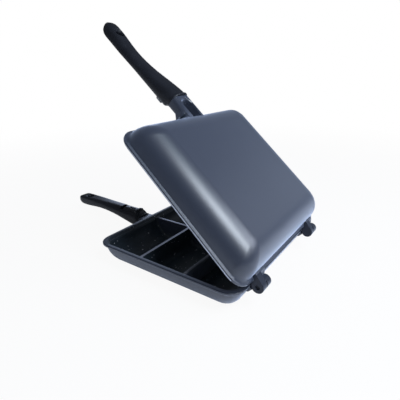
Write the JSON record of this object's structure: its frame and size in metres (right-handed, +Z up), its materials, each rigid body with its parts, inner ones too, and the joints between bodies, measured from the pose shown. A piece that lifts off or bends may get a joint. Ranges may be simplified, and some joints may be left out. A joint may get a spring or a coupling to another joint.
{
  "type": "double sided flip pan",
  "caption": "Rectangular double sided flip pan with a divided lower half, a hinged lid half, a grip on each half and a slide latch between the grips.",
  "frame": {"origin": "centre of the flat underside of the lower half", "axes": "+X along the hinges, -Y towards the grips, +Y towards the hinges, +Z up"},
  "size_m": [0.224, 0.3877, 0.2959],
  "materials": {
    "coated_casting": "cast aluminium with a dark blue-grey non-stick coating, soft sheen",
    "grip": "black moulded phenolic with a soft sheen",
    "steel": "plain steel"
  },
  "bodies": {
    "base": {"lower_pan": "coated_casting", "lower_grip": "grip", "lower_grip_screw_inner": "steel", "lower_grip_screw_outer": "steel", "hinge_pin_left": "steel", "hinge_pin_right": "steel", "hinge_washer_left": "steel", "hinge_washer_right": "steel", "latch_spring": "steel", "latch_spring_screw": "steel"},
    "lid": {"upper_pan": "coated_casting", "upper_grip": "grip", "upper_grip_screw_inner": "steel", "upper_grip_screw_outer": "steel", "latch_hook": "steel", "latch_hook_screw": "steel"},
    "slider": {"latch_slider": "grip"}
  },
  "joints": [
    {"name": "lid_hinge", "type": "hinge", "parent": "base", "child": "lid", "pos_m": [0, 0.1083, 0.03225], "axis": [-1, 0, 0], "range_deg": [-42, 138]},
    {"name": "latch_slide", "type": "slide", "parent": "base", "child": "slider", "axis": [0, -1, 0], "range_m": [0, 0.005]}
  ]
}
